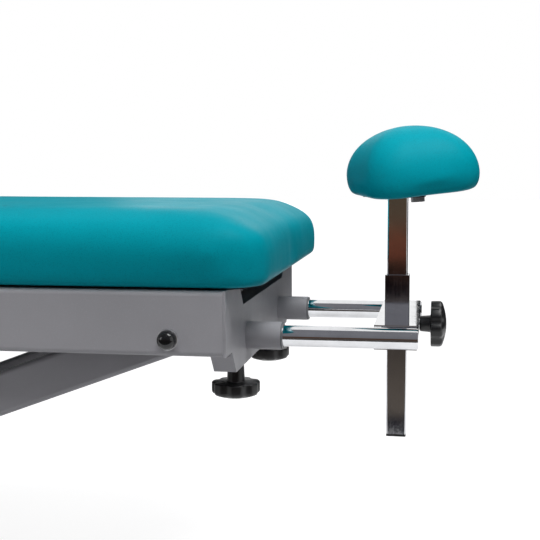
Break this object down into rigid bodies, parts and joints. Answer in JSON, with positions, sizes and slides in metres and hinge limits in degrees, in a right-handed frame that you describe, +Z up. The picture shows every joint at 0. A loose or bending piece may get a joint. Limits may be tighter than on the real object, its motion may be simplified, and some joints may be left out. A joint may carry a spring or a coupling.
{
  "type": "chiropractic table",
  "caption": "Height-adjustable chiropractic table with a parallelogram lift, sectioned padded top, tilting headpiece and a swivelling foot pad on sliding rods.",
  "frame": {"origin": "on the floor, under the middle of the table's bounding box", "axes": "+X from the head end towards the foot end, +Y across the table, +Z up"},
  "size_m": [2.0371, 0.602, 0.5938],
  "materials": {
    "frame_paint": "satin",
    "bright_steel": "polished",
    "plain_steel": "satin",
    "dark_steel": "satin",
    "black_plastic": "satin",
    "black_rubber": "matte",
    "nylon": "satin",
    "black_board": "matte",
    "teal_vinyl": "satin"
  },
  "bodies": {
    "base": {"base_runners": "frame_paint", "base_crossmembers": "frame_paint", "levelling_feet": "black_rubber", "base_axles": "plain_steel", "base_axle_spacers": "dark_steel", "jack_lugs": "frame_paint", "jack_base_pin": "plain_steel", "pump_block": "dark_steel"},
    "rear_arm_frame": {"rear_arms": "frame_paint", "lift_lever": "frame_paint", "rear_cross_tube": "frame_paint", "jack_top_pin": "plain_steel"},
    "front_arm_frame": {"front_arms": "frame_paint", "front_torque_tube": "frame_paint", "front_cross_tube": "frame_paint"},
    "barrel": {"jack_barrel": "dark_steel"},
    "ram": {"jack_ram": "plain_steel"},
    "pedals": {"pedal_shaft": "plain_steel", "pedal_arms": "frame_paint", "pedal_pads": "black_rubber"},
    "plunger": {"pump_plunger": "plain_steel"},
    "top_frame": {"side_rails": "frame_paint", "foot_crossmember": "frame_paint", "frame_crossmembers": "frame_paint", "rod_guides": "frame_paint", "rod_bushes": "nylon", "pivot_bolts": "bright_steel", "pivot_spacers": "dark_steel", "pivot_caps": "black_plastic", "leg_board": "black_board", "leg_cushion": "teal_vinyl", "chest_board": "black_board", "chest_cushion": "teal_vinyl"},
    "head_section": {"head_frame": "frame_paint", "head_board": "black_board", "head_cushion": "teal_vinyl"},
    "head_lock": {"head_hinge_pin": "plain_steel", "head_lock_knob": "black_plastic"},
    "carriage": {"guide_rods": "bright_steel", "rod_caps": "bright_steel", "bracket_plates": "bright_steel", "post_sleeve": "bright_steel"},
    "near_clamp": {"near_clamp_knob": "black_plastic", "near_clamp_screw": "plain_steel"},
    "far_clamp": {"far_clamp_knob": "black_plastic", "far_clamp_screw": "plain_steel"},
    "post_clamp": {"post_clamp_knob": "black_plastic", "post_clamp_screw": "plain_steel"},
    "foot_post": {"post": "bright_steel", "post_plug": "black_plastic", "pad_plate": "dark_steel"},
    "pad": {"pad_bolt": "plain_steel", "pad_board": "black_board", "foot_pad": "teal_vinyl"}
  },
  "joints": [
    {"name": "lift", "type": "hinge", "parent": "base", "child": "rear_arm_frame", "pos_m": [-0.5928, 0, 0.062], "axis": [0, -1, 0], "range_deg": [-4.3, 25.7]},
    {"name": "upper_pivot", "type": "hinge", "parent": "rear_arm_frame", "child": "top_frame", "pos_m": [0.2044, 0, 0.3569], "axis": [0, -1, 0], "range_deg": [-25.8, 4.4]},
    {"name": "front_arm_swing", "type": "hinge", "parent": "base", "child": "front_arm_frame", "pos_m": [-0.1128, 0, 0.062], "axis": [0, -1, 0], "range_deg": [-4.4, 25.8]},
    {"name": "jack_barrel_swing", "type": "hinge", "parent": "base", "child": "barrel", "pos_m": [-0.2528, 0, 0.092], "axis": [0, -1, 0], "range_deg": [-1, 5.5]},
    {"name": "jack_ram_swing", "type": "hinge", "parent": "rear_arm_frame", "child": "ram", "pos_m": [-0.6379, 0, 0.18393], "axis": [0, -1, 0], "range_deg": [-20.4, 3.5]},
    {"name": "pedal_press", "type": "hinge", "parent": "base", "child": "pedals", "pos_m": [-0.1628, 0, 0.062], "axis": [0, 1, 0], "range_deg": [0, 18], "stiffness_Nm_per_rad": 8, "springref_deg": -20.05},
    {"name": "plunger_stroke", "type": "slide", "parent": "base", "child": "plunger", "axis": [0, 0, 1], "range_m": [0, 0.0096]},
    {"name": "head_tilt", "type": "hinge", "parent": "top_frame", "child": "head_section", "pos_m": [-0.6266, 0, 0.39389], "axis": [0, 1, 0], "range_deg": [-35, 15]},
    {"name": "head_lock_turn", "type": "hinge", "parent": "top_frame", "child": "head_lock", "pos_m": [-0.6266, 0, 0.39389], "axis": [0, -1, 0], "range_deg": [0, 300]},
    {"name": "foot_carriage_slide", "type": "slide", "parent": "top_frame", "child": "carriage", "axis": [1, 0, 0], "range_m": [-0.048, 0.12]},
    {"name": "near_clamp_turn", "type": "hinge", "parent": "top_frame", "child": "near_clamp", "pos_m": [0.7324, -0.117, 0.31089], "axis": [0, 0, 1], "range_deg": [0, 300]},
    {"name": "far_clamp_turn", "type": "hinge", "parent": "top_frame", "child": "far_clamp", "pos_m": [0.7324, 0.117, 0.31089], "axis": [0, 0, 1], "range_deg": [0, 300]},
    {"name": "post_height", "type": "slide", "parent": "carriage", "child": "foot_post", "axis": [0, 0, 1], "range_m": [-0.093, 0.125]},
    {"name": "post_clamp_turn", "type": "hinge", "parent": "carriage", "child": "post_clamp", "pos_m": [0.9474, 0, 0.3419], "axis": [-1, 0, 0], "range_deg": [0, 300]},
    {"name": "pad_swivel", "type": "hinge", "parent": "foot_post", "child": "pad", "pos_m": [0.9429, 0, 0.50658], "axis": [-0.0698, 0, 0.9976], "continuous": true}
  ],
  "couplings": [
    {"joint": "upper_pivot", "follows": "lift", "ratio": -1},
    {"joint": "front_arm_swing", "follows": "lift", "ratio": 1},
    {"joint": "jack_barrel_swing", "follows": "lift", "ratio": 0.21},
    {"joint": "jack_ram_swing", "follows": "lift", "ratio": -0.79},
    {"joint": "plunger_stroke", "follows": "pedal_press", "m_per_rad": 0.03}
  ]
}
